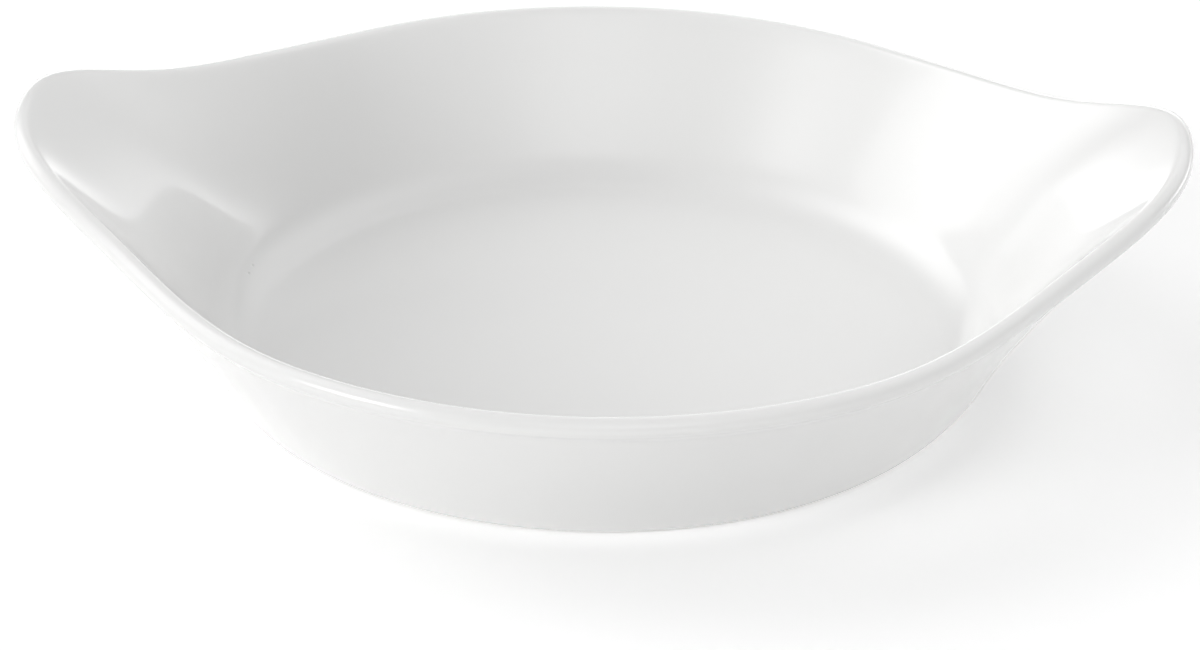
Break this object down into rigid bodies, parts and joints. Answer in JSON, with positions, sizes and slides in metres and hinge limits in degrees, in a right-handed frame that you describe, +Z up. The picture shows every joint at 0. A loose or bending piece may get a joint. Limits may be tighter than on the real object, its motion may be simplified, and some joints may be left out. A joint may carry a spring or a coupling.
{
  "type": "gratin dish",
  "caption": "Shallow round eared gratin dish in white glazed porcelain, with a flat floor, a flaring wall, a rolled lip and a raised ear at each side to lift it by.",
  "frame": {"origin": "centre of the standing face, on the surface that the dish rests on", "axes": "+X through the tip of one ear, +Y across the round rim, +Z up out of the bowl"},
  "size_m": [0.217, 0.18, 0.049],
  "materials": {
    "porcelain": "white, high-gloss clear glaze"
  },
  "bodies": {
    "root": {"dish": "porcelain"}
  },
  "joints": []
}
